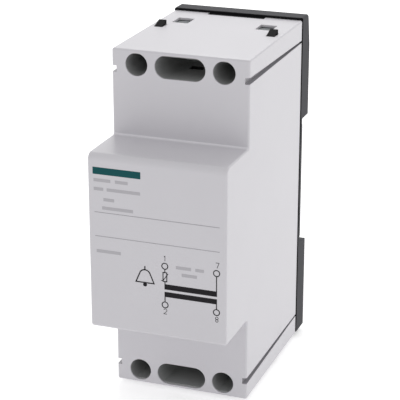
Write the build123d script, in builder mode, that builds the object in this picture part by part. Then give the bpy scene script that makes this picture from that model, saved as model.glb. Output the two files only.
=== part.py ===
"""Bell transformer for a 35 mm mounting rail, two modules wide.

Frame: the origin is the middle of the rail seat, +X to the right seen from the front,
+Y back towards the rail, +Z up. All sizes are in millimetres.
"""

import os

from build123d import *

# Rail and rail foot
rail_height = 35.0
rail_flange = 1.0
rail_play = 0.15
rail_offset = 0.0
seat_depth = 2.0
seat_relief = 0.3
seat_relief_height = 1.65
base_width = 36.0
seam_width = 0.5
seam_depth = 0.4
foot_depth = 4.95
foot_lead_in = 0.95
foot_slope_in = 1.0
foot_slope_height = 6.0
foot_wall = 1.6
foot_floor = 1.4
foot_top_lip = 0.6
foot_bottom_inset = 0.35
foot_top_round = 1.3
foot_corner = 0.5
hook_lap = 1.2
hook_width = 13.0
hook_lead_in = 1.0

# Hood
body_width = 35.7
body_height = 89.8
shoulder_depth = 43.0
nose_depth = 16.1
nose_rise = 22.85
nose_drop = 22.75
side_wall = 1.6
end_wall = 0.6
shoulder_wall = 1.0
rim_wall = 0.4
nose_wall = 1.6
nose_top_round = 1.8
nose_bottom_round = 0.8
shoulder_round = 0.6
inner_round = 0.5
side_round = 0.5
fit_play = 0.15
seat_play = 0.1

# Openings and fittings of the hood
screw_side_inset = 6.48
screw_end_inset = 3.7
access_bore = 5.8
channel_wall = 1.87
wire_rear_inset = 7.75
wire_depth = 5.4
wire_width = 4.36
clip_rear_inset = 15.6
clip_length = 3.45
clip_height = 1.1
clip_side_inset = 3.75
clip_width = 2.1
arm_thickness = 1.35
tab_width = 15.8
tab_depth = 1.9
groove_end_inset = 6.0
groove_depth = 1.2
groove_front_height = 1.65
groove_rear_height = 0.6
rib_height = 1.1
rib_width = 1.2
spigot_depth = 2.5
spigot_wall = 1.4

# Terminal blocks
block_floor = 1.5
block_roof = 0.4
pocket_depth = 17.6
pocket_window_width = 3.6
pocket_window_depth = 3.0
pocket_window_front = 11.0
collar_depth = 0.8
collar_bore = 4.2
head_wall = 1.0

# Terminals with a rising cage
screw_thread = 3.0
screw_head = 4.8
screw_head_height = 2.4
screw_slot_width = 0.8
screw_slot_depth = 1.2
thread_play = 0.05
head_play = 0.2
cage_travel = 4.0
cage_inner_width = 4.3
cage_wall = 0.5
cage_nut = 1.6
cage_back = 1.0
cage_play = 0.3
cage_above_axis = 2.8
cage_below_axis = 2.7
bar_width = 4.1
bar_thickness = 1.0
bar_above_axis = 2.0
tail_width = 2.4
tail_length = 3.6

# Transformer
lamination_unit = 8.0
stack = 16.5
core_middle = 13.5
core_hole = 3.5
core_play = 0.1
bobbin_wall = 0.9
bobbin_play = 0.2
winding_margin = 1.0
winding_round = 3.0
tape = 0.3
tape_play = 0.05
lead = 1.4
lead_inset = 2.8
lead_notch = 2.2
thermistor = 8.0
thermistor_thickness = 3.0
thermistor_leg = 0.8
thermistor_leg_length = 2.0

# Rail latch
latch_width = 12.0
latch_wing = 2.0
latch_wing_thickness = 1.5
latch_lap = 1.3
latch_slope = 2.8
latch_stop = 4.0
latch_foot = 0.4
latch_eye_width = 6.0
latch_eye_height = 2.4
latch_eye_margin = 2.0

# Planes and limits of the body. Heights of the hood's features count from its middle.
half_width = body_width / 2
half_base = base_width / 2
half_height = body_height / 2
inner_half_width = half_width - side_wall
inner_half_height = half_height - end_wall
middle = -rail_offset
notch = rail_height / 2 + rail_play
lip_front = rail_flange + rail_play
hood_rear = -seat_depth
shoulder = hood_rear - shoulder_depth
nose_front = shoulder - nose_depth
foot_top = middle + half_height + foot_top_lip
foot_bottom = middle - half_height + foot_bottom_inset
screw_x = half_width - screw_side_inset
screw_z = half_height - screw_end_inset
slot_length = 2 * (screw_x - access_bore / 2 - channel_wall)
wire_rear = hood_rear - wire_rear_inset
wire_front = wire_rear - wire_depth
clip_rear = hood_rear - clip_rear_inset
clip_front = clip_rear - clip_length
clip_inner = half_width - clip_side_inset
arm_inner = clip_inner + fit_play
groove_inner = half_height - groove_end_inset
side_plane = Plane((0, 0, middle), x_dir=(0, 1, 0), z_dir=(1, 0, 0))
shoulder_plane = Plane((0, shoulder, middle), x_dir=(1, 0, 0), z_dir=(0, -1, 0))
middle_plane = Plane((0, 0, middle))
turn_axis = Axis((0, 0, middle), (0, 1, 0))

# Limits of the terminal blocks and of the terminals in them
block_top = inner_half_height - seat_play
block_bottom = screw_z - access_bore / 2 - block_floor
block_seat = block_bottom - seat_play
block_front = shoulder + rim_wall + seat_play
block_rear = hood_rear - spigot_depth - fit_play
arm_top = inner_half_height - fit_play
arm_bottom = arm_top - arm_thickness
bar_front = wire_front
bar_middle = bar_front + bar_thickness / 2
cage_front = bar_front - seat_play - cage_nut
cage_back_front = wire_rear
cage_rear = cage_back_front + cage_back
cage_top = screw_z + cage_above_axis
cage_bottom = screw_z - cage_below_axis
wall_rear = cage_front - cage_travel - seat_play
wall_front = wall_rear - head_wall
head_rear = wall_front - head_play
head_front = head_rear - screw_head_height
collar_rear = head_front - head_play
tail_end = block_bottom - tail_length

# Limits of the core and coil
core_y = shoulder + core_middle
core_front = core_y - 3 * lamination_unit
core_rear = core_y + 3 * lamination_unit
coil_half = 1.5 * lamination_unit - bobbin_play
tube_width = stack + 2 * bobbin_play + 2 * bobbin_wall
tube_depth = 2 * lamination_unit + 2 * bobbin_play + 2 * bobbin_wall
flange_width = 2 * (inner_half_width - fit_play)
flange_depth = 4 * lamination_unit - 2 * bobbin_play
coil_width = flange_width - 2 * winding_margin
coil_depth = flange_depth - 2 * winding_margin
winding_top = coil_half - bobbin_wall - tape_play
winding_foot = bobbin_wall / 2 + tape_play
lead_y = core_y + flange_depth / 2 - lead_inset

os.makedirs("parts", exist_ok=True)


def finish(piece, name):
    """Label a finished piece and write it."""
    piece.part.label = name
    export_step(piece.part, f"parts/{name}.step")


def round_corner(sketch, point, radius):
    """Round the corner of a sketch that lies nearest to a point."""
    fillet(sketch.vertices().sort_by_distance(point)[0], radius)


def rectangle_between(low, high):
    """A rectangle between two corners of the sketch plane."""
    with Locations(((low[0] + high[0]) / 2, (low[1] + high[1]) / 2)):
        Rectangle(high[0] - low[0], high[1] - low[1])


def front_plane(y):
    """Plane across the body at depth y, seen from the front."""
    return Plane((0, y, middle), x_dir=(1, 0, 0), z_dir=(0, -1, 0))


# Hood: one moulding, a nose between two lower terminal shoulders, open at the rear
with BuildPart() as hood:
    with BuildSketch(side_plane) as outline:
        with BuildLine():
            Polyline(
                (hood_rear, -half_height),
                (shoulder, -half_height),
                (shoulder, -nose_drop),
                (nose_front, -nose_drop),
                (nose_front, nose_rise),
                (shoulder, nose_rise),
                (shoulder, half_height),
                (hood_rear, half_height),
                close=True,
            )
        make_face()
        round_corner(outline, (nose_front, nose_rise), nose_top_round)
        round_corner(outline, (nose_front, -nose_drop), nose_bottom_round)
        round_corner(outline, (shoulder, nose_rise), inner_round)
        round_corner(outline, (shoulder, -nose_drop), inner_round)
        round_corner(outline, (shoulder, half_height), shoulder_round)
        round_corner(outline, (shoulder, -half_height), shoulder_round)
    extrude(amount=half_width, both=True)
    side_edges = hood.faces().filter_by(Axis.X).edges()
    fillet(side_edges.filter_by_position(Axis.Y, nose_front, hood_rear, (True, False)), side_round)
    with BuildSketch(side_plane):
        with BuildLine():
            Polyline(
                (hood_rear, -inner_half_height),
                (shoulder + rim_wall, -inner_half_height),
                (shoulder + rim_wall, -block_seat),
                (shoulder + shoulder_wall, -block_seat),
                (shoulder + shoulder_wall, nose_wall - nose_drop),
                (nose_front + nose_wall, nose_wall - nose_drop),
                (nose_front + nose_wall, nose_rise - nose_wall),
                (shoulder + shoulder_wall, nose_rise - nose_wall),
                (shoulder + shoulder_wall, block_seat),
                (shoulder + rim_wall, block_seat),
                (shoulder + rim_wall, inner_half_height),
                (hood_rear, inner_half_height),
                close=True,
            )
        make_face()
    extrude(amount=inner_half_width, both=True, mode=Mode.SUBTRACT)
    # Screwdriver holes and the oblong middle openings in both shoulders
    with BuildSketch(shoulder_plane):
        with GridLocations(2 * screw_x, 2 * screw_z, 2, 2):
            Circle(access_bore / 2)
        with GridLocations(0, 2 * screw_z, 1, 2):
            SlotOverall(slot_length, access_bore)
    extrude(amount=-rim_wall, mode=Mode.SUBTRACT)
    # Wire windows, clip windows and the rear notch in both end walls
    for end in (1, -1):
        with BuildSketch(middle_plane.offset(end * inner_half_height)):
            with Locations((0, (wire_front + wire_rear) / 2)):
                with GridLocations(2 * screw_x, 0, 2, 1):
                    Rectangle(wire_width, wire_depth)
            with Locations((0, (clip_front + clip_rear) / 2)):
                with GridLocations(2 * clip_inner + clip_width, 0, 2, 1):
                    Rectangle(clip_width + 2 * fit_play, clip_length + 2 * fit_play)
            rectangle_between((-tab_width / 2, hood_rear - tab_depth), (tab_width / 2, hood_rear))
        extrude(amount=end * end_wall, mode=Mode.SUBTRACT)
    # Tapered lead-in grooves along both sides
    for side in (1, -1):
        with BuildSketch(side_plane.offset(side * half_width)):
            with BuildLine():
                Polyline(
                    (shoulder, groove_inner),
                    (hood_rear, groove_inner),
                    (hood_rear, groove_inner + groove_rear_height),
                    (shoulder, groove_inner + groove_front_height),
                    close=True,
                )
            make_face()
            mirror(about=Plane.XZ)
        extrude(amount=-side * groove_depth, mode=Mode.SUBTRACT)
    # Ribs that carry the terminal blocks
    rib_middle = block_seat - rib_height / 2
    with BuildSketch(front_plane(shoulder + shoulder_wall)):
        with GridLocations(2 * inner_half_width - rib_width, 2 * rib_middle, 2, 2):
            Rectangle(rib_width, rib_height)
    extrude(amount=shoulder + shoulder_wall - block_rear)
    # Ribs inside the nose that locate the core
    with BuildSketch(front_plane(nose_front + nose_wall)):
        with GridLocations(0, 4 * lamination_unit, 1, 2):
            Rectangle(stack, nose_wall)
    extrude(amount=nose_front + nose_wall - core_front + core_play)
finish(hood, "hood")

# Base plate: closes the hood, carries the rail blocks, the fixed rail hook and four clip arms
with BuildPart() as base_plate:
    with BuildSketch(Plane.XZ.offset(seat_depth)):
        with Locations((0, (foot_top + foot_bottom) / 2)):
            Rectangle(body_width - 2 * seam_depth, foot_top - foot_bottom)
    extrude(amount=-seam_width)
    with BuildSketch(Plane.XZ.offset(seat_depth - seam_width)):
        with Locations((0, (foot_top + foot_bottom) / 2)):
            Rectangle(base_width, foot_top - foot_bottom)
    extrude(amount=seam_width - seat_depth)
    with BuildSketch(Plane.YZ) as blocks:
        with BuildLine():
            Polyline(
                (0, notch),
                (foot_depth, notch),
                (foot_depth, foot_top - foot_slope_height),
                (foot_depth - foot_slope_in, foot_top),
                (0, foot_top),
                close=True,
            )
        make_face()
        with BuildLine():
            Polyline(
                (0, foot_bottom),
                (foot_depth, foot_bottom),
                (foot_depth, -notch - foot_lead_in),
                (0, -notch),
                close=True,
            )
        make_face()
        round_corner(blocks, (foot_depth - foot_slope_in, foot_top), foot_top_round)
    extrude(amount=half_base, both=True)
    long_edges = base_plate.edges().filter_by(Axis.Y)
    rear_edges = long_edges.filter_by_position(Axis.Y, hood_rear + seam_width, foot_depth)
    fillet(rear_edges.group_by(Axis.Z)[-1], foot_corner)
    # Relief at both ends of the rail seat
    for end in (1, -1):
        with BuildSketch(Plane.XZ):
            with Locations((0, end * (notch - seat_relief_height / 2))):
                Rectangle(base_width, seat_relief_height)
        extrude(amount=seat_relief, mode=Mode.SUBTRACT)
    # Fixed hook over the rail's upper edge
    with BuildSketch(Plane.YZ):
        with BuildLine():
            Polyline(
                (lip_front, notch),
                (lip_front, notch - hook_lap),
                (foot_depth, notch - hook_lap + hook_lead_in),
                (foot_depth, notch),
                close=True,
            )
        make_face()
    extrude(amount=hook_width / 2, both=True)
    # Hollows in the upper block and beside the latch guide, open to the rear
    with BuildSketch(Plane.XZ.offset(-foot_floor)):
        pocket_low = notch + foot_wall
        pocket_high = foot_top - foot_slope_height - foot_wall
        for side in (1, -1):
            rectangle_between(
                (min(side * foot_wall / 2, side * (half_base - foot_wall)), pocket_low),
                (max(side * foot_wall / 2, side * (half_base - foot_wall)), pocket_high),
            )
            guide_edge = latch_width / 2 + latch_wing + fit_play + foot_wall
            rectangle_between(
                (min(side * guide_edge, side * (half_base - foot_wall)), foot_bottom + foot_wall),
                (
                    max(side * guide_edge, side * (half_base - foot_wall)),
                    -notch - foot_lead_in - foot_wall,
                ),
            )
    extrude(amount=foot_floor - foot_depth, mode=Mode.SUBTRACT)
    # Guide of the rail latch, with grooves for its wings that end at the upper stop
    with BuildSketch(Plane.XY.offset(foot_bottom)):
        rectangle_between(
            (-latch_width / 2 - fit_play, lip_front - fit_play),
            (latch_width / 2 + fit_play, foot_depth),
        )
    extrude(amount=-notch - foot_bottom, mode=Mode.SUBTRACT)
    with BuildSketch(Plane.XY.offset(foot_bottom)):
        rectangle_between(
            (-latch_width / 2 - latch_wing - fit_play, lip_front - fit_play),
            (latch_width / 2 + latch_wing + fit_play, lip_front + latch_wing_thickness + fit_play),
        )
    extrude(amount=-notch - latch_stop - foot_bottom, mode=Mode.SUBTRACT)
    # Spigot inside the hood
    with BuildSketch(front_plane(hood_rear)):
        Rectangle(2 * (inner_half_width - fit_play), 2 * arm_top)
        Rectangle(
            2 * (inner_half_width - fit_play - spigot_wall),
            2 * (arm_top - spigot_wall),
            mode=Mode.SUBTRACT,
        )
    extrude(amount=spigot_depth)
    # Tabs that fill the notches in the hood's rear edge
    with BuildSketch(front_plane(hood_rear)):
        tab_rise = half_height - seat_play - arm_top + spigot_wall
        with GridLocations(0, 2 * (half_height - seat_play) - tab_rise, 1, 2):
            Rectangle(tab_width - 2 * fit_play, tab_rise)
    extrude(amount=tab_depth - fit_play)
    # Posts that hold the core from behind
    with BuildSketch(front_plane(hood_rear)):
        with GridLocations(0, 4 * lamination_unit, 1, 2):
            Rectangle(stack, spigot_wall)
    extrude(amount=hood_rear - core_rear - core_play)
    # Clip arms with ramped heads that lock the hood
    for side in (1, -1):
        with BuildSketch(side_plane.offset(side * arm_inner)):
            rectangle_between((clip_front, arm_bottom), (hood_rear, arm_top))
            mirror(about=Plane.XZ)
        extrude(amount=side * (inner_half_width - fit_play - arm_inner))
        with BuildSketch(side_plane.offset(side * clip_inner)):
            with BuildLine():
                Polyline(
                    (clip_front, arm_top - fit_play),
                    (clip_rear, arm_top - fit_play),
                    (clip_rear, half_height + clip_height),
                    (clip_front, half_height),
                    close=True,
                )
            make_face()
            mirror(about=Plane.XZ)
        extrude(amount=side * clip_width)
finish(base_plate, "base_plate")

# Rail latch: slides down in the base plate's guide and snaps behind the rail's lower edge
with BuildPart() as rail_latch:
    latch_bottom = foot_bottom + latch_foot
    latch_rear = foot_depth - fit_play
    jaw_top = latch_lap - rail_height / 2
    with BuildSketch(Plane.YZ):
        with BuildLine():
            Polyline(
                (lip_front, latch_bottom),
                (latch_rear, latch_bottom),
                (latch_rear, jaw_top - latch_slope),
                (lip_front, jaw_top),
                close=True,
            )
        make_face()
    extrude(amount=latch_width / 2, both=True)
    with BuildSketch(Plane.XY.offset(latch_bottom)):
        rectangle_between(
            (-latch_width / 2 - latch_wing, lip_front),
            (latch_width / 2 + latch_wing, lip_front + latch_wing_thickness),
        )
    extrude(amount=-notch - latch_stop - seat_play - latch_bottom)
    with BuildSketch(Plane.XZ):
        with Locations((0, latch_bottom + latch_eye_margin + latch_eye_height / 2)):
            SlotOverall(latch_eye_width, latch_eye_height)
    extrude(amount=-foot_depth, mode=Mode.SUBTRACT)
finish(rail_latch, "rail_latch")


def channel(bore, front, rear):
    """Cut a round-bottomed channel around both upper screw axes, open at the top."""
    with BuildSketch(front_plane(front)) as section:
        with GridLocations(2 * screw_x, 0, 2, 1):
            with Locations((0, screw_z)):
                Circle(bore / 2)
            rectangle_between((-bore / 2, screw_z), (bore / 2, block_top))
    extrude(section.sketch, amount=front - rear, mode=Mode.SUBTRACT)


# Terminal block: screwdriver holes, middle pocket and cage chambers, closed by the hood
with BuildPart() as upper_block:
    with BuildSketch(front_plane(block_front)):
        rectangle_between(
            (fit_play - inner_half_width, block_bottom), (inner_half_width - fit_play, block_top)
        )
    extrude(amount=block_front - block_rear)
    collar_front = collar_rear - collar_depth
    with BuildSketch(front_plane(block_front)):
        with Locations((0, screw_z)):
            with GridLocations(2 * screw_x, 0, 2, 1):
                Circle(access_bore / 2)
        Rectangle(body_width, 2 * (block_top - block_roof), mode=Mode.INTERSECT)
    extrude(amount=block_front - collar_front, mode=Mode.SUBTRACT)
    with BuildSketch(front_plane(block_front)):
        with Locations((0, screw_z)):
            SlotOverall(slot_length, access_bore)
        Rectangle(body_width, 2 * (block_top - block_roof), mode=Mode.INTERSECT)
    extrude(amount=-pocket_depth, mode=Mode.SUBTRACT)
    channel(collar_bore, collar_front, collar_rear)
    channel(access_bore, collar_rear, wall_front)
    channel(screw_thread + 4 * thread_play, wall_front, wall_rear)
    with BuildSketch(middle_plane.offset(block_bottom)):
        with Locations((0, shoulder + pocket_window_front + pocket_window_depth / 2)):
            Rectangle(pocket_window_width, pocket_window_depth)
        with Locations((0, bar_middle)):
            with GridLocations(2 * screw_x, 0, 2, 1):
                Rectangle(bar_width + 2 * thread_play, bar_thickness + 2 * thread_play)
    extrude(amount=screw_z - block_bottom, mode=Mode.SUBTRACT)
    with BuildSketch(middle_plane.offset(cage_bottom - cage_play)):
        with Locations((0, (wall_rear + cage_rear + cage_play) / 2)):
            with GridLocations(2 * screw_x, 0, 2, 1):
                Rectangle(
                    cage_inner_width + 2 * cage_wall + 2 * cage_play,
                    cage_rear + cage_play - wall_rear,
                )
    extrude(amount=block_top - cage_bottom + cage_play, mode=Mode.SUBTRACT)
    # Room for the base plate's clip arms
    with BuildSketch(front_plane(clip_front - fit_play)):
        recess_width = inner_half_width - arm_inner
        with GridLocations(2 * inner_half_width - recess_width - fit_play, 0, 2, 1):
            rectangle_between(
                (-recess_width / 2 - fit_play, arm_bottom - fit_play),
                (recess_width / 2 + fit_play, block_top),
            )
    extrude(amount=clip_front - fit_play - block_rear, mode=Mode.SUBTRACT)
finish(upper_block, "terminal_block_upper")

with BuildPart() as lower_block:
    add(upper_block.part.rotate(turn_axis, 180))
finish(lower_block, "terminal_block_lower")

# Four terminals: a screw held in the block, a cage that rises on it and a contact bar
terminals = {
    "upper_left": (-1, 1),
    "upper_right": (1, 1),
    "lower_left": (-1, -1),
    "lower_right": (1, -1),
}
for corner, (side, end) in terminals.items():
    axis_point = (side * screw_x, end * screw_z)

    with BuildPart() as terminal_screw:
        with BuildSketch(front_plane(head_rear)):
            with Locations(axis_point):
                Circle(screw_head / 2)
        extrude(amount=screw_head_height)
        with BuildSketch(front_plane(head_rear)):
            with Locations(axis_point):
                Circle(screw_thread / 2 - thread_play)
        extrude(amount=head_rear - bar_front + thread_play)
        with BuildSketch(front_plane(head_front)):
            with Locations(axis_point):
                Rectangle(screw_head, screw_slot_width)
        extrude(amount=-screw_slot_depth, mode=Mode.SUBTRACT)
    finish(terminal_screw, f"terminal_screw_{corner}")

    with BuildPart() as terminal_cage:
        with BuildSketch(middle_plane.offset(end * cage_bottom)):
            with Locations((side * screw_x, (cage_front + cage_rear) / 2)):
                Rectangle(cage_inner_width + 2 * cage_wall, cage_rear - cage_front)
            with Locations((side * screw_x, (cage_front + cage_nut + cage_back_front) / 2)):
                Rectangle(
                    cage_inner_width, cage_back_front - cage_front - cage_nut, mode=Mode.SUBTRACT
                )
        extrude(amount=end * (cage_top - cage_bottom))
        with BuildSketch(front_plane(cage_front)):
            with Locations(axis_point):
                Circle(screw_thread / 2)
        extrude(amount=-cage_nut, mode=Mode.SUBTRACT)
    finish(terminal_cage, f"terminal_cage_{corner}")

    with BuildPart() as contact_bar:
        with BuildSketch(front_plane(bar_front)):
            bar_high = end * (screw_z + bar_above_axis)
            bar_low = end * block_bottom
            with Locations((side * screw_x, (bar_high + bar_low) / 2)):
                Rectangle(bar_width, abs(bar_high - bar_low))
            with Locations((side * screw_x, end * (block_bottom + tail_end) / 2)):
                Rectangle(tail_width, tail_length)
        extrude(amount=-bar_thickness)
    finish(contact_bar, f"contact_bar_{corner}")

# Core: stacks of E and I sheets, the coil's leg upright
with BuildPart() as core_e_stack:
    with BuildSketch(side_plane):
        with Locations((core_y, -0.5 * lamination_unit)):
            Rectangle(6 * lamination_unit, 4 * lamination_unit)
        with Locations((core_y, 0)):
            with GridLocations(3 * lamination_unit, 0, 2, 1):
                Rectangle(lamination_unit, 3 * lamination_unit, mode=Mode.SUBTRACT)
        with Locations((core_y, -2 * lamination_unit)):
            with GridLocations(5 * lamination_unit, 0, 2, 1):
                Circle(core_hole / 2, mode=Mode.SUBTRACT)
    extrude(amount=stack / 2, both=True)
finish(core_e_stack, "core_e_stack")

with BuildPart() as core_i_stack:
    with BuildSketch(side_plane):
        with Locations((core_y, 2 * lamination_unit)):
            Rectangle(6 * lamination_unit, lamination_unit)
            with GridLocations(5 * lamination_unit, 0, 2, 1):
                Circle(core_hole / 2, mode=Mode.SUBTRACT)
    extrude(amount=stack / 2, both=True)
finish(core_i_stack, "core_i_stack")

# Bobbin: a square tube with three flanges that part the two windings
with BuildPart() as bobbin:
    with BuildSketch(middle_plane.offset(-coil_half)):
        with Locations((0, core_y)):
            Rectangle(tube_width, tube_depth)
    extrude(amount=2 * coil_half)
    for flange_foot in (-coil_half, -bobbin_wall / 2, coil_half - bobbin_wall):
        with BuildSketch(middle_plane.offset(flange_foot)):
            with Locations((0, core_y)):
                RectangleRounded(flange_width, flange_depth, winding_margin)
        extrude(amount=bobbin_wall)
    with BuildSketch(middle_plane.offset(-coil_half)):
        with Locations((0, core_y)):
            Rectangle(tube_width - 2 * bobbin_wall, tube_depth - 2 * bobbin_wall)
    extrude(amount=2 * coil_half, mode=Mode.SUBTRACT)
    # Notches in the end flanges where the leads come out
    for flange_foot in (-coil_half, coil_half - bobbin_wall):
        with BuildSketch(middle_plane.offset(flange_foot)):
            for side in (1, -1):
                rectangle_between(
                    (side * screw_x - lead_notch / 2, lead_y - lead_notch / 2),
                    (side * screw_x + lead_notch / 2, core_y + flange_depth / 2),
                )
        extrude(amount=bobbin_wall, mode=Mode.SUBTRACT)
finish(bobbin, "bobbin")

# Windings, primary above and secondary below, each under a wrap of insulating tape
for name, end in {"primary": 1, "secondary": -1}.items():
    with BuildPart() as winding:
        with BuildSketch(middle_plane.offset(end * winding_foot)):
            with Locations((0, core_y)):
                RectangleRounded(coil_width - 2 * tape, coil_depth - 2 * tape, winding_round - tape)
                Rectangle(
                    tube_width + 2 * tape_play, tube_depth + 2 * tape_play, mode=Mode.SUBTRACT
                )
        extrude(amount=end * (winding_top - winding_foot))
    finish(winding, f"{name}_winding")

    with BuildPart() as wrap:
        with BuildSketch(middle_plane.offset(end * winding_foot)):
            with Locations((0, core_y)):
                RectangleRounded(
                    coil_width + 2 * tape_play, coil_depth + 2 * tape_play, winding_round + tape_play
                )
                RectangleRounded(
                    coil_width - 2 * tape + 2 * tape_play,
                    coil_depth - 2 * tape + 2 * tape_play,
                    winding_round - tape + tape_play,
                    mode=Mode.SUBTRACT,
                )
        extrude(amount=end * (winding_top - winding_foot))
    finish(wrap, f"{name}_tape")

# Thermistor in series with the upper left terminal, hanging on its own legs
thermistor_middle = tail_end - thermistor_leg_length - thermistor / 2
with BuildPart() as ptc_thermistor:
    with BuildSketch(side_plane.offset(-screw_x)):
        with Locations((bar_middle, thermistor_middle)):
            Circle(thermistor / 2)
    extrude(amount=thermistor_thickness / 2, both=True)
    leg_span = thermistor + 2 * thermistor_leg_length
    with BuildSketch(middle_plane.offset(tail_end)):
        with Locations((-screw_x, bar_middle)):
            Circle(thermistor_leg / 2)
    extrude(amount=-leg_span)
finish(ptc_thermistor, "ptc_thermistor")

# Leads from the coil to the terminals, sleeved, each drawn straight to its contact bar
for corner, (side, end) in terminals.items():
    lead_end = tail_end - leg_span if corner == "upper_left" else tail_end
    lead_way = Vector(0, bar_middle - lead_y, end * (lead_end - winding_top))
    with BuildPart() as winding_lead:
        with BuildSketch(middle_plane.offset(end * winding_top)):
            with Locations((side * screw_x, lead_y)):
                Circle(lead / 2)
        extrude(amount=lead_way.length, dir=lead_way)
    finish(winding_lead, f"winding_lead_{corner}")
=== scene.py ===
"""Looks of the bell transformer, in the order in which it is put together."""

import math

import bmesh
import bpy
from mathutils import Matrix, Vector


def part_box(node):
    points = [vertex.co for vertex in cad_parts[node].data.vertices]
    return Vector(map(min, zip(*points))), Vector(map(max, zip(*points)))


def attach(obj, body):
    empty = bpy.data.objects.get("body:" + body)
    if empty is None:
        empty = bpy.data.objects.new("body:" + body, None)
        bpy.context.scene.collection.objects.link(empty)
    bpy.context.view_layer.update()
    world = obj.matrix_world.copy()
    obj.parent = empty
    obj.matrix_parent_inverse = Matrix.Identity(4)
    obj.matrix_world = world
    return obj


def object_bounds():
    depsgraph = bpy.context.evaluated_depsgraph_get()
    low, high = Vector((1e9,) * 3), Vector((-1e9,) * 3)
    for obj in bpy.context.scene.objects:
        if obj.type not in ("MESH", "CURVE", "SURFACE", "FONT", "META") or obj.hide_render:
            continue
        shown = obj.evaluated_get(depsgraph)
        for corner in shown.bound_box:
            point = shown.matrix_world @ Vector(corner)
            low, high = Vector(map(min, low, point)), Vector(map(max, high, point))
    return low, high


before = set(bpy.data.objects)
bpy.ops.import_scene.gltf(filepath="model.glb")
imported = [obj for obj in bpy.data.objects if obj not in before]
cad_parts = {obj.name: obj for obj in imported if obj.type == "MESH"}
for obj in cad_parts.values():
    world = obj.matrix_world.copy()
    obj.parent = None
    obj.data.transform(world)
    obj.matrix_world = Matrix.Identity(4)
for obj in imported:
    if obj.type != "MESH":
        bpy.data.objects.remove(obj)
cad_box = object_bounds()

# Laminated core: E and I sheets of silicon steel, 0.5 mm thick, punched, annealed and stacked.
# The outside of a stack is all cut edges, so the sheets show as fine lines across its width.
MM = 0.001
SHEET = 0.5
SHEET_STEP = 0.03
STEEL_BLUE_GREY = "#74777b"
STEEL_CUT_EDGE = "#4c4e51"


def linear(hex_colour):
    """Linear colour, with alpha, of an sRGB hex value."""
    channels = [int(hex_colour[i : i + 2], 16) / 255 for i in (1, 3, 5)]
    light = [c / 12.92 if c <= 0.04045 else ((c + 0.055) / 1.055) ** 2.4 for c in channels]
    return (*light, 1.0)


def add_node(tree, kind, inputs, **settings):
    """Add a shader node with its settings. An input is a value, or the output that it is linked to.

    A Mix node has its factor at input 0, its two colours at 6 and 7, and the mixed colour at output 2.
    """
    node = tree.nodes.new(kind)
    for name, value in settings.items():
        setattr(node, name, value)
    for name, value in inputs.items():
        if isinstance(value, bpy.types.NodeSocket):
            tree.links.new(value, node.inputs[name])
        else:
            node.inputs[name].default_value = value
    return node


def new_material(name):
    """An empty material, its node tree and the place in metres that its patterns follow."""
    material = bpy.data.materials.new(name)
    material.use_nodes = True
    tree = material.node_tree
    tree.nodes.clear()
    place = add_node(tree, "ShaderNodeTexCoord", {}).outputs["Object"]
    return material, tree, place


def close_material(tree, sockets):
    """End a material with its shader."""
    shader = add_node(tree, "ShaderNodeBsdfPrincipled", sockets)
    add_node(tree, "ShaderNodeOutputMaterial", {"Surface": shader.outputs["BSDF"]})


def dress(material, *names):
    """Give CAD nodes their material."""
    for name in names:
        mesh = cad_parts[name].data
        mesh.materials.clear()
        mesh.materials.append(material)


def band_scale(period):
    """Scale of a wave texture whose bands repeat every period, in millimetres."""
    return math.pi / 10 / (period * MM)


core_steel, tree, place = new_material("silicon_steel_stack")
sheets = add_node(
    tree, "ShaderNodeTexWave", {"Vector": place, "Scale": band_scale(SHEET)}, bands_direction="X"
).outputs["Fac"]
tone = add_node(
    tree,
    "ShaderNodeMix",
    {0: sheets, 6: linear(STEEL_CUT_EDGE), 7: linear(STEEL_BLUE_GREY)},
    data_type="RGBA",
).outputs[2]
steps = add_node(
    tree, "ShaderNodeBump", {"Height": sheets, "Distance": SHEET_STEP * MM, "Strength": 0.6}
).outputs["Normal"]
close_material(tree, {"Base Color": tone, "Metallic": 1.0, "Roughness": 0.42, "Normal": steps})
dress(core_steel, "core_e_stack", "core_i_stack")

# Bobbin: one moulding of natural polyamide, a square tube with three flanges.
# It is off-white, a little waxy, and has the fine grain of its mould.
BOBBIN_NATURAL = "#d8d1bd"
BOBBIN_SHADE = "#cec6b0"
FLOW_PATCH = 14.0
BROKEN_EDGE = 0.1
# Nearly all values of a noise texture lie in this span.
NOISE_SPAN = (0.3, 0.7)


def moulded_plastic(name, pale, shade, roughness, ior, grain, depth, gloss_spread=0.05):
    """A moulded plastic, whose grain has a size and a depth in millimetres.

    Its two near tones lie in slow patches, as the melt flowed, and its edges are just broken.
    The grain of a real mould is about 0.1 mm. It is drawn coarser, so that it shows in the render.
    """
    material, tree, place = new_material(name)
    flow = add_node(
        tree, "ShaderNodeTexNoise", {"Vector": place, "Scale": 1 / (FLOW_PATCH * MM), "Detail": 2.0}
    ).outputs["Fac"]
    tone = add_node(
        tree, "ShaderNodeMix", {0: flow, 6: linear(shade), 7: linear(pale)}, data_type="RGBA"
    ).outputs[2]
    pits = add_node(
        tree, "ShaderNodeTexNoise", {"Vector": place, "Scale": 1 / (grain * MM), "Detail": 3.0}
    ).outputs["Fac"]
    gloss = add_node(
        tree,
        "ShaderNodeMapRange",
        {
            "Value": pits,
            "From Min": NOISE_SPAN[0],
            "From Max": NOISE_SPAN[1],
            "To Min": roughness - gloss_spread,
            "To Max": roughness + gloss_spread,
        },
    ).outputs["Result"]
    broken_edge = add_node(
        tree, "ShaderNodeBevel", {"Radius": BROKEN_EDGE * MM}, samples=4
    ).outputs["Normal"]
    relief = add_node(
        tree,
        "ShaderNodeBump",
        {"Height": pits, "Distance": depth * MM, "Strength": 0.5, "Normal": broken_edge},
    ).outputs["Normal"]
    close_material(tree, {"Base Color": tone, "Roughness": gloss, "IOR": ior, "Normal": relief})
    return material


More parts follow.
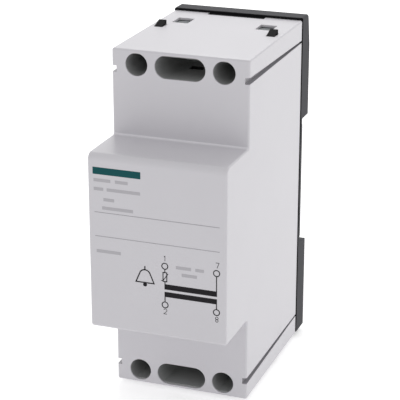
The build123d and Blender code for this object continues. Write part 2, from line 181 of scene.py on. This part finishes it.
bobbin_polyamide = moulded_plastic(
    "natural_polyamide", BOBBIN_NATURAL, BOBBIN_SHADE, roughness=0.5, ior=1.53, grain=0.4, depth=0.01
)
dress(bobbin_polyamide, "bobbin")

# Windings: enamelled copper wire, many thin turns above for the mains and fewer thick ones below.
# The enamel gives the copper a red-brown gloss, and the turns lie as close ribs around the tube.
COPPER_LIGHT = "#c07a4c"
COPPER_DEEP = "#7e4325"
WIRES = {"primary_winding": 0.25, "secondary_winding": 0.8}
for node_name, wire in WIRES.items():
    rib_height = wire / 4
    enamelled_copper, tree, place = new_material(f"enamelled_copper_{node_name}")
    turns = add_node(
        tree, "ShaderNodeTexWave", {"Vector": place, "Scale": band_scale(wire)}, bands_direction="Z"
    ).outputs["Fac"]
    tone = add_node(
        tree,
        "ShaderNodeMix",
        {0: turns, 6: linear(COPPER_DEEP), 7: linear(COPPER_LIGHT)},
        data_type="RGBA",
    ).outputs[2]
    ribs = add_node(
        tree, "ShaderNodeBump", {"Height": turns, "Distance": rib_height * MM, "Strength": 0.8}
    ).outputs["Normal"]
    close_material(
        tree,
        {
            "Base Color": tone,
            "Metallic": 1.0,
            "Roughness": 0.3,
            "Coat Weight": 0.6,
            "Coat Roughness": 0.15,
            "Normal": ribs,
        },
    )
    dress(enamelled_copper, node_name)

# Wraps over the windings: yellow polyester film tape, wound in overlapping turns 8 mm apart.
# The film is thin and glossy, and each overlap shows as a slightly deeper line.
TAPE_YELLOW = "#e2b63a"
TAPE_OVERLAP = "#c89a26"
TAPE_STEP = 8.0
TAPE_FILM = 0.06
tape_film, tree, place = new_material("polyester_film_tape")
laps = add_node(
    tree,
    "ShaderNodeTexWave",
    {"Vector": place, "Scale": band_scale(TAPE_STEP)},
    bands_direction="Z",
    wave_profile="SAW",
).outputs["Fac"]
tone = add_node(
    tree,
    "ShaderNodeMix",
    {0: laps, 6: linear(TAPE_OVERLAP), 7: linear(TAPE_YELLOW)},
    data_type="RGBA",
).outputs[2]
lap_edge = add_node(
    tree, "ShaderNodeBump", {"Height": laps, "Distance": TAPE_FILM * MM, "Strength": 0.5}
).outputs["Normal"]
close_material(tree, {"Base Color": tone, "Roughness": 0.28, "IOR": 1.64, "Normal": lap_edge})
dress(tape_film, "primary_tape", "secondary_tape")

# Leads and thermistor: the winding ends run in red silicone sleeves to the contact bars.
# The thermistor is a ceramic disc dipped in blue epoxy, which flows smooth and glossy.
CORNERS = ("upper_left", "upper_right", "lower_left", "lower_right")
SLEEVE_RED = "#93352b"
SLEEVE_SHADE = "#842d25"
EPOXY_BLUE = "#2d4f8f"
EPOXY_SHADE = "#264580"
sleeve_silicone = moulded_plastic(
    "silicone_sleeve", SLEEVE_RED, SLEEVE_SHADE, roughness=0.6, ior=1.41, grain=0.3, depth=0.01
)
dress(sleeve_silicone, *[f"winding_lead_{corner}" for corner in CORNERS])
dipped_epoxy = moulded_plastic(
    "dipped_epoxy", EPOXY_BLUE, EPOXY_SHADE, roughness=0.22, ior=1.55, grain=1.2, depth=0.02
)
dress(dipped_epoxy, "ptc_thermistor")

# Terminals: cages bent from steel strip and turned screws, zinc plated, on tinned brass bars.
# The passivated strip is pale and dull, while the screws look metallic and have a 0.5 mm thread.
# Both have a soft cloudy bloom, and the tin on the bars is grey and smooth.
ZINC_PALE = "#e0e3e5"
ZINC_CLOUD = "#ccd0d3"
ZINC_BLOOM = 1.5
BLOOM_DEPTH = 0.01
THREAD_PITCH = 0.5
THREAD_DEPTH = THREAD_PITCH / 3
TIN_GREY = "#c9c4b4"
TIN_PATCH = 0.8
TIN_ROUGHNESS = (0.25, 0.45)
# The material of each piece, how metallic it looks, and its roughness.
ZINC_FINISHES = {
    "cage": ("passivated_zinc_plated_strip", 0.2, 0.7),
    "screw": ("zinc_plated_screw_steel", 1.0, 0.5),
}
for piece, (finish, metallic, roughness) in ZINC_FINISHES.items():
    zinc_plate, tree, place = new_material(finish)
    bloom = add_node(
        tree, "ShaderNodeTexNoise", {"Vector": place, "Scale": 1 / (ZINC_BLOOM * MM), "Detail": 4.0}
    ).outputs["Fac"]
    tone = add_node(
        tree,
        "ShaderNodeMix",
        {0: bloom, 6: linear(ZINC_CLOUD), 7: linear(ZINC_PALE)},
        data_type="RGBA",
    ).outputs[2]
    height = bloom
    depth = BLOOM_DEPTH
    if piece == "screw":
        height = add_node(
            tree,
            "ShaderNodeTexWave",
            {"Vector": place, "Scale": band_scale(THREAD_PITCH)},
            bands_direction="Y",
        ).outputs["Fac"]
        depth = THREAD_DEPTH
    relief = add_node(
        tree, "ShaderNodeBump", {"Height": height, "Distance": depth * MM, "Strength": 0.5}
    ).outputs["Normal"]
    close_material(
        tree, {"Base Color": tone, "Metallic": metallic, "Roughness": roughness, "Normal": relief}
    )
    dress(zinc_plate, *[f"terminal_{piece}_{corner}" for corner in CORNERS])

tinned_brass, tree, place = new_material("tinned_brass")
patches = add_node(
    tree, "ShaderNodeTexNoise", {"Vector": place, "Scale": 1 / (TIN_PATCH * MM), "Detail": 2.0}
).outputs["Fac"]
gloss = add_node(
    tree,
    "ShaderNodeMapRange",
    {"Value": patches, "To Min": TIN_ROUGHNESS[0], "To Max": TIN_ROUGHNESS[1]},
).outputs["Result"]
close_material(tree, {"Base Color": linear(TIN_GREY), "Metallic": 1.0, "Roughness": gloss})
dress(tinned_brass, *[f"contact_bar_{corner}" for corner in CORNERS])

# Terminal blocks: two mouldings of grey polyamide, held behind the shoulders of the hood.
# Their channels are what shows through the round and oblong openings, smooth and half matt.
BLOCK_GREY = "#a6a7a7"
BLOCK_SHADE = "#9d9e9e"
block_polyamide = moulded_plastic(
    "grey_polyamide", BLOCK_GREY, BLOCK_SHADE, roughness=0.45, ior=1.53, grain=0.5, depth=0.01
)


def tint_place(material, colour, across, along, up):
    """Colour what lies within three spans in millimetres, alike left and right and at both ends."""
    tree = material.node_tree
    shader = tree.nodes["Principled BSDF"]
    tone = shader.inputs["Base Color"].links[0].from_socket
    place = tree.nodes["Texture Coordinate"].outputs["Object"]
    parts_of_place = add_node(tree, "ShaderNodeSeparateXYZ", {"Vector": place}).outputs
    within = 1.0
    for axis, (low, high) in zip("XYZ", (across, along, up)):
        distance = parts_of_place[axis]
        if axis != "Y":
            distance = add_node(tree, "ShaderNodeMath", {0: distance}, operation="ABSOLUTE").outputs[0]
        inside = add_node(
            tree,
            "ShaderNodeMath",
            {0: distance, 1: (low + high) / 2 * MM, 2: (high - low) / 2 * MM},
            operation="COMPARE",
        ).outputs[0]
        within = add_node(
            tree, "ShaderNodeMath", {0: inside, 1: within}, operation="MULTIPLY"
        ).outputs[0]
    tinted = add_node(
        tree, "ShaderNodeMix", {0: within, 6: tone, 7: linear(colour)}, data_type="RGBA"
    ).outputs[2]
    tree.links.new(tinted, shader.inputs["Base Color"])


# The walls of the window in the floor of each middle pocket are painted near black: painted shade.
POCKET_WINDOW_PAINTED_SHADE = "#060606"
POCKET_WINDOW_ACROSS = (-1.9, 1.9)
POCKET_WINDOW_ALONG = (-34.1, -30.9)
POCKET_WINDOW_UP = (30.0, 38.25)
tint_place(
    block_polyamide, POCKET_WINDOW_PAINTED_SHADE, POCKET_WINDOW_ACROSS, POCKET_WINDOW_ALONG, POCKET_WINDOW_UP
)
dress(block_polyamide, "terminal_block_upper", "terminal_block_lower")

# Base plate and rail latch: moulded from black glass-filled polyamide, the plate clipped to the hood.
# The outside of the foot is grey, and all in front of it is painted black: painted shade in the seam
# under the hood and on the foot's front faces, with the clip heads black as well.
# The fibres are about 0.3 mm long, and their pattern is drawn coarser, so that it shows.
FOOT_GREY = "#525255"
FOOT_SHADE = "#4d4d50"
SEAM_SHADE_AND_CLIP_BLACK = "#131315"
FIBRE_PATTERN = 0.6
FIBRE_DEPTH = 0.012
FOOT_EDGE = 0.15
SEAM = 0.5
BLACK_TO_GREY = (0.02, 0.12)
foot_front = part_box("hood")[1].y + SEAM * MM
filled_polyamide, tree, place = new_material("black_glass_filled_polyamide")
depth_in_frame = add_node(tree, "ShaderNodeSeparateXYZ", {"Vector": place}).outputs["Y"]
outside = add_node(
    tree,
    "ShaderNodeMapRange",
    {
        "Value": depth_in_frame,
        "From Min": foot_front + BLACK_TO_GREY[0] * MM,
        "From Max": foot_front + BLACK_TO_GREY[1] * MM,
    },
).outputs["Result"]
fibres = add_node(
    tree, "ShaderNodeTexNoise", {"Vector": place, "Scale": 1 / (FIBRE_PATTERN * MM), "Detail": 4.0}
).outputs["Fac"]
greyed = add_node(
    tree, "ShaderNodeMix", {0: fibres, 6: linear(FOOT_SHADE), 7: linear(FOOT_GREY)}, data_type="RGBA"
).outputs[2]
# Painted shade: the seam and the front faces before the foot take the black, as do the clip heads.
tone = add_node(
    tree, "ShaderNodeMix", {0: outside, 6: linear(SEAM_SHADE_AND_CLIP_BLACK), 7: greyed}, data_type="RGBA"
).outputs[2]
broken_edge = add_node(
    tree, "ShaderNodeBevel", {"Radius": FOOT_EDGE * MM}, samples=4
).outputs["Normal"]
relief = add_node(
    tree,
    "ShaderNodeBump",
    {"Height": fibres, "Distance": FIBRE_DEPTH * MM, "Strength": 0.5, "Normal": broken_edge},
).outputs["Normal"]
close_material(
    tree,
    {
        "Base Color": tone,
        "Roughness": 0.7,
        "IOR": 1.54,
        "Specular IOR Level": 0.08,
        "Normal": relief,
    },
)
dress(filled_polyamide, "base_plate", "rail_latch")

# Hood: one moulding of light grey polycarbonate blend, which closes the case from the front.
# The finely eroded mould gives its outside a soft, even sheen, and the grey has a faint cool tint.
HOOD_GREY = "#d5d3d8"
HOOD_SHADE = "#d1cfd4"
hood_plastic = moulded_plastic(
    "light_grey_polycarbonate",
    HOOD_GREY,
    HOOD_SHADE,
    roughness=0.3,
    ior=1.52,
    grain=0.35,
    depth=0.002,
    gloss_spread=0.015,
)

# The narrow tapered grooves in the sides are painted a deeper grey than the faces around them: painted
# shade in the grooves.
GROOVE_PAINTED_SHADE = "#a3a1a6"
GROOVE_ACROSS = (16.6, 17.8)
GROOVE_ALONG = (-44.9, -2.0)
GROOVE_UP = (38.85, 40.6)
tint_place(hood_plastic, GROOVE_PAINTED_SHADE, GROOVE_ACROSS, GROOVE_ALONG, GROOVE_UP)

# The rounded inner corner beside the nose is painted paler, a painted highlight that shows as a fine
# pale line.
CREASE_PAINTED_HIGHLIGHT = "#e1dfe4"
CREASE_ACROSS = (0.0, 17.9)
CREASE_ALONG = (-45.75, -44.95)
CREASE_UP = (22.7, 23.2)
tint_place(hood_plastic, CREASE_PAINTED_HIGHLIGHT, CREASE_ACROSS, CREASE_ALONG, CREASE_UP)
dress(hood_plastic, "hood")

# Print on the nose: pad-printed ink, drawn as a film that stands 0.03 mm proud of the front face.
# Each sign and each colour is one thin piece, which reaches as far into the plastic as out of it.
INK_FILM = 0.03
INK_GRAIN = 0.25
INK_ROUGHNESS = (0.38, 0.52)
MITRE_LIMIT = 0.4
face_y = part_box("hood")[0].y


def ink(name, colour):
    """A printing ink: one flat colour with a fine grain, a little more matt than the plastic."""
    material, tree, place = new_material(name)
    grain = add_node(
        tree, "ShaderNodeTexNoise", {"Vector": place, "Scale": 1 / (INK_GRAIN * MM), "Detail": 2.0}
    ).outputs["Fac"]
    gloss = add_node(
        tree,
        "ShaderNodeMapRange",
        {"Value": grain, "To Min": INK_ROUGHNESS[0], "To Max": INK_ROUGHNESS[1]},
    ).outputs["Result"]
    close_material(
        tree,
        {"Base Color": linear(colour), "Roughness": gloss, "IOR": 1.5, "Specular IOR Level": 0.15},
    )
    return material


def film(shape, rings, closed):
    """Skin a row of sections, each with its left and right point, as a flat film of ink."""
    sections = []
    for left, right in rings:
        section = []
        for point, side in ((left, -1), (right, -1), (right, 1), (left, 1)):
            y = face_y + side * INK_FILM * MM
            section.append(shape.verts.new((point.x * MM, y, point.y * MM)))
        sections.append(section)
    pairs = list(zip(sections, sections[1:] + sections[:1]))
    for one, two in pairs if closed else pairs[:-1]:
        for i in range(4):
            shape.faces.new((one[i], one[(i + 1) % 4], two[(i + 1) % 4], two[i]))
    if not closed:
        shape.faces.new(sections[0][::-1])
        shape.faces.new(sections[-1])


def stroke(shape, points, width, closed=False):
    """A printed line of even width through points across and up the nose, in millimetres."""
    path = [Vector(point) for point in points]
    rings = []
    for i, point in enumerate(path):
        before = path[i - 1] if closed or i else None
        after = path[(i + 1) % len(path)] if closed or i + 1 < len(path) else None
        ways = [(b - a).normalized() for a, b in ((before, point), (point, after)) if a and b]
        along = sum(ways, Vector((0, 0))).normalized()
        across = Vector((-along.y, along.x)) * width / 2 / max(along.dot(ways[0]), MITRE_LIMIT)
        rings.append((point + across, point - across))
    film(shape, rings, closed)


def field(shape, left, right, low, high):
    """A printed rectangle."""
    film(shape, [(Vector((x, high)), Vector((x, low))) for x in (left, right)], closed=False)


def arc(middle, radius, start, end, steps):
    """Points on an arc, from one angle to another, in degrees."""
    angles = [math.radians(start + (end - start) * i / steps) for i in range(steps + 1)]
    return [(middle[0] + radius * math.cos(a), middle[1] + radius * math.sin(a)) for a in angles]


def print_piece(name, shape, material):
    """Finish one piece of the print and let it ride on the hood."""
    bmesh.ops.recalc_face_normals(shape, faces=shape.faces)
    mesh = bpy.data.meshes.new(name)
    shape.to_mesh(mesh)
    shape.free()
    mesh.materials.append(material)
    piece = bpy.data.objects.new(name, mesh)
    bpy.context.scene.collection.objects.link(piece)
    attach(piece, "transformer")


# Wiring sign: two bars for the core, a ring for each terminal, and a thermistor in the first line.
# It is the common sign of such a transformer, printed in black ink with lines of one width.
INK_BLACK = "#18161a"
LEFT_LINE = 2.03
RIGHT_LINE = 15.35
UPPER_ROW = -3.86
LOWER_ROW = -14.07
RING = 0.78
RING_STEPS = 24
LINE = 0.24
CORE_BARS = ((-9.95, -8.56), (-11.92, -10.59))
THERMISTOR_SIGN = (-7.88, -5.54)
THERMISTOR_HALF = 0.49
SLASH_LINE = 0.18
SLASH_TAIL = 0.5
SLASH_RISE = 0.2
SLASH_REACH = 0.35
SLASH_DROP = 0.25
black_ink = ink("black_print_ink", INK_BLACK)
sign = bmesh.new()
for low, high in CORE_BARS:
    field(sign, LEFT_LINE - LINE / 2, RIGHT_LINE + LINE / 2, low, high)
for x in (LEFT_LINE, RIGHT_LINE):
    for z in (UPPER_ROW, LOWER_ROW):
        stroke(sign, arc((x, z), RING, 0, 360, RING_STEPS)[:-1], LINE, closed=True)
stroke(sign, [(LEFT_LINE, UPPER_ROW - RING), (LEFT_LINE, THERMISTOR_SIGN[1])], LINE)
stroke(sign, [(LEFT_LINE, THERMISTOR_SIGN[0]), (LEFT_LINE, CORE_BARS[0][1])], LINE)
stroke(sign, [(RIGHT_LINE, UPPER_ROW - RING), (RIGHT_LINE, CORE_BARS[0][1])], LINE)
for x in (LEFT_LINE, RIGHT_LINE):
    stroke(sign, [(x, CORE_BARS[1][0]), (x, LOWER_ROW + RING)], LINE)
sign_left = LEFT_LINE - THERMISTOR_HALF
sign_right = LEFT_LINE + THERMISTOR_HALF
low, high = THERMISTOR_SIGN
thermistor_box = [(sign_left, low), (sign_right, low), (sign_right, high), (sign_left, high)]
stroke(sign, thermistor_box, LINE, closed=True)
slash_foot = low + SLASH_RISE
slash_end = (sign_right + SLASH_REACH, high - SLASH_DROP)
slash = [(sign_left - SLASH_TAIL, slash_foot), (sign_left, slash_foot), slash_end]
stroke(sign, slash, SLASH_LINE)
print_piece("print_wiring_sign", sign, black_ink)

# Terminal numbers: printed in the same black ink, one beside each ring of the wiring sign.
# They are drawn as single thin lines, as an engraver would cut them.
NUMBER_LINE = 0.13
NUMBER_HEIGHT = 1.35
NUMBER_HALF = 0.42
ONE_STEM = 0.05
ONE_FLAG = 0.25
SEVEN_FOOT = -0.1
LOOP_STEPS = 16
# The ring that each number belongs to, and where the number stands from the ring's middle.
NUMBER_PLACES = {
    "1": ((LEFT_LINE, UPPER_ROW), (0.0, 1.98)),
    "7": ((RIGHT_LINE, UPPER_ROW), (0.2, 2.05)),
    "2": ((LEFT_LINE, LOWER_ROW), (0.05, -1.73)),
    "8": ((RIGHT_LINE, LOWER_ROW), (0.1, -1.85)),
}
half = NUMBER_HEIGHT / 2
loop = half / 2
two_bow = arc((0, half - NUMBER_HALF), NUMBER_HALF, 160, -40, 8)
number_lines = {
    "1": [[(ONE_STEM - ONE_FLAG, half - ONE_FLAG), (ONE_STEM, half), (ONE_STEM, -half)]],
    "7": [[(-NUMBER_HALF, half), (NUMBER_HALF, half), (SEVEN_FOOT, -half)]],
    "2": [[*two_bow, (-NUMBER_HALF, -half), (NUMBER_HALF, -half)]],
    "8": [
        arc((0, loop), loop, -90, 270, LOOP_STEPS)[:-1],
        arc((0, -loop), loop, 90, 450, LOOP_STEPS)[:-1],
    ],
}
numbers = bmesh.new()
for number, (ring_middle, offset) in NUMBER_PLACES.items():
    x, z = Vector(ring_middle) + Vector(offset)
    for points in number_lines[number]:
        stroke(numbers, [(x + a, z + b) for a, b in points], NUMBER_LINE, closed=number == "8")
print_piece("print_terminal_numbers", numbers, black_ink)

# Bell sign: the common sign of a bell, printed in black ink to the left of the wiring sign.
# It is a dome on a straight foot line, with a stem above it and the clapper below.
BELL_X = -3.19
BELL_FOOT = -8.89
BELL_HALF = 2.37
CROWN = 1.42
CROWN_Z = -6.93
CROWN_STEPS = 16
STEM_TOP = -4.56
CLAPPER = 0.52
CLAPPER_STEPS = 12
BELL_LINE = 0.3
corner_angle = math.atan2(BELL_FOOT - CROWN_Z, BELL_HALF)
corner_reach = math.hypot(BELL_FOOT - CROWN_Z, BELL_HALF)
flank = math.degrees(corner_angle + math.acos(CROWN / corner_reach))
bell = bmesh.new()
dome = arc((BELL_X, CROWN_Z), CROWN, 180 - flank, flank, CROWN_STEPS)
bell_outline = [(BELL_X - BELL_HALF, BELL_FOOT), *dome, (BELL_X + BELL_HALF, BELL_FOOT)]
stroke(bell, bell_outline, BELL_LINE, closed=True)
stroke(bell, [(BELL_X, CROWN_Z + CROWN), (BELL_X, STEM_TOP)], BELL_LINE)
clapper_rim = arc((BELL_X, BELL_FOOT - CLAPPER), CLAPPER, 90, 270, CLAPPER_STEPS)
clapper_rows = [(Vector((x, z)), Vector((2 * BELL_X - x, z))) for x, z in clapper_rim[1:-1]]
film(bell, clapper_rows, closed=False)
print_piece("print_bell_sign", bell, black_ink)

# Rules and fields: two fine grey rules across the face, one teal field and rows of pale ones.
# They are flat areas of ink, and each colour is printed in a pass of its own.
INK_GREY = "#a8a6ab"
INK_PALE = "#b9b7bc"
INK_TEAL = "#0b4f52"
RULES = (7.94, 1.71)
RULE_LINE = 0.16
RULE_ENDS = (-16.2, 16.1)
TEAL_FIELD = (-16.5, -4.07, 17.7, 19.48)
FIELD_HEIGHT = 0.8
# The middle height of each row of pale fields, and the ends of its fields.
FIELD_ROWS = {
    16.2: ((-16.3, -11.9), (-10.7, -7.4)),
    13.95: ((-16.3, -13.8), (-12.9, -4.2)),
    11.35: ((-13.8, -11.0),),
    9.15: ((-14.2, -6.1),),
    -2.2: ((-15.9, -9.5),),
    -3.8: ((4.9, 8.8), (9.9, 12.1)),
    -5.6: ((6.4, 10.3),),
}
rules = bmesh.new()
for z in RULES:
    stroke(rules, [(RULE_ENDS[0], z), (RULE_ENDS[1], z)], RULE_LINE)
print_piece("print_rules", rules, ink("grey_print_ink", INK_GREY))
fields = bmesh.new()
for z, spans in FIELD_ROWS.items():
    for left, right in spans:
        field(fields, left, right, z - FIELD_HEIGHT / 2, z + FIELD_HEIGHT / 2)
print_piece("print_pale_fields", fields, ink("pale_print_ink", INK_PALE))
teal = bmesh.new()
field(teal, *TEAL_FIELD)
print_piece("print_teal_field", teal, ink("teal_print_ink", INK_TEAL))

# Studio: a sheet of white paper under the part, soft light all round and two large lamps.
# One lamp stands behind and lights the top past the terminal shoulder, the other low on the right.
# The paper glows a little, and it is clear from below, so that the underside can be looked at.
FLOOR_SIZE = 6.0
PAPER_WHITE = "#f2f2f2"
ROOM_WHITE = "#ffffff"
SKY_LEVEL = 0.7
# The glow of the paper, and what is added to it where the camera or a reflection sees the paper.
PAPER_GLOW = 0.22
PAPER_LIFT = 0.23
# The place of each lamp and its size, in metres, and its power in watts.
LAMPS = {
    "rear_lamp": (Vector((-0.1, 0.65, 0.65)), 0.5, 2.8),
    "side_lamp": (Vector((0.9, 0.1, 0.1)), 0.7, 0.3),
}
floor_mesh = bpy.data.meshes.new("floor")
half_floor = FLOOR_SIZE / 2
floor_z = cad_box[0].z
floor_mesh.from_pydata(
    [(x * half_floor, y * half_floor, floor_z) for x, y in ((-1, -1), (1, -1), (1, 1), (-1, 1))],
    [],
    [(0, 1, 2, 3)],
)
floor = bpy.data.objects.new("floor", floor_mesh)
bpy.context.scene.collection.objects.link(floor)


def seen_rays(tree):
    """1 for rays from the camera, reflections and glass, 0 for the light that falls on the object."""
    rays = add_node(tree, "ShaderNodeLightPath", {}).outputs
    direct = add_node(
        tree,
        "ShaderNodeMath",
        {0: rays["Is Camera Ray"], 1: rays["Is Glossy Ray"]},
        operation="MAXIMUM",
    ).outputs[0]
    return add_node(
        tree, "ShaderNodeMath", {0: direct, 1: rays["Is Transmission Ray"]}, operation="MAXIMUM"
    ).outputs[0]


paper, tree, place = new_material("white_paper")
paper_shade = add_node(tree, "ShaderNodeBsdfDiffuse", {"Color": linear(PAPER_WHITE)}).outputs[0]
lift = add_node(
    tree,
    "ShaderNodeMath",
    {0: seen_rays(tree), 1: PAPER_LIFT, 2: PAPER_GLOW},
    operation="MULTIPLY_ADD",
).outputs[0]
paper_glow = add_node(tree, "ShaderNodeEmission", {"Strength": lift}).outputs[0]
paper_sum = add_node(tree, "ShaderNodeAddShader", {0: paper_shade, 1: paper_glow}).outputs[0]
clear = add_node(tree, "ShaderNodeBsdfTransparent", {}).outputs[0]
underside = add_node(tree, "ShaderNodeNewGeometry", {}).outputs["Backfacing"]
paper_side = add_node(tree, "ShaderNodeMixShader", {0: underside, 1: paper_sum, 2: clear}).outputs[0]
add_node(tree, "ShaderNodeOutputMaterial", {"Surface": paper_side})
floor_mesh.materials.append(paper)

world = bpy.data.worlds.new("studio")
world.use_nodes = True
sky = world.node_tree
sky.nodes.clear()
room_light = add_node(
    sky, "ShaderNodeBackground", {"Color": linear(ROOM_WHITE), "Strength": SKY_LEVEL}
).outputs[0]
white_seen = add_node(
    sky, "ShaderNodeBackground", {"Color": linear(ROOM_WHITE), "Strength": 1.0}
).outputs[0]
room = add_node(
    sky, "ShaderNodeMixShader", {0: seen_rays(sky), 1: room_light, 2: white_seen}
).outputs[0]
add_node(sky, "ShaderNodeOutputWorld", {"Surface": room})
bpy.context.scene.world = world

for name, (spot, size, power) in LAMPS.items():
    lamp_light = bpy.data.lights.new(name, "AREA")
    lamp_light.energy = power
    lamp_light.size = size
    lamp = bpy.data.objects.new(name, lamp_light)
    lamp.location = spot
    lamp.rotation_euler = (-spot).to_track_quat("-Z", "Y").to_euler()
    bpy.context.scene.collection.objects.link(lamp)

# Camera: right of the front and above it, at the photograph's angle, with a long lens.
# Its place was worked out from the part's straight edges, so that they fall as in the photograph.
CAMERA_AZIMUTH = math.radians(20.16)
CAMERA_ELEVATION = math.radians(20.02)
CAMERA_AIM = Vector((4.2, -42.28, 7.06)) * MM
CAMERA_DISTANCE = 395.0 * MM
CAMERA_LENS = 142.24
CAMERA_NEAR = 10.0 * MM
back = Vector(
    (
        math.sin(CAMERA_AZIMUTH) * math.cos(CAMERA_ELEVATION),
        -math.cos(CAMERA_AZIMUTH) * math.cos(CAMERA_ELEVATION),
        math.sin(CAMERA_ELEVATION),
    )
)
camera_data = bpy.data.cameras.new("camera")
camera_data.lens = CAMERA_LENS
camera_data.clip_start = CAMERA_NEAR
camera = bpy.data.objects.new("camera", camera_data)
camera.location = CAMERA_AIM + back * CAMERA_DISTANCE
camera.rotation_euler = (-back).to_track_quat("-Z", "Y").to_euler()
bpy.context.scene.collection.objects.link(camera)
bpy.context.scene.camera = camera
bpy.context.scene.view_settings.view_transform = "Standard"
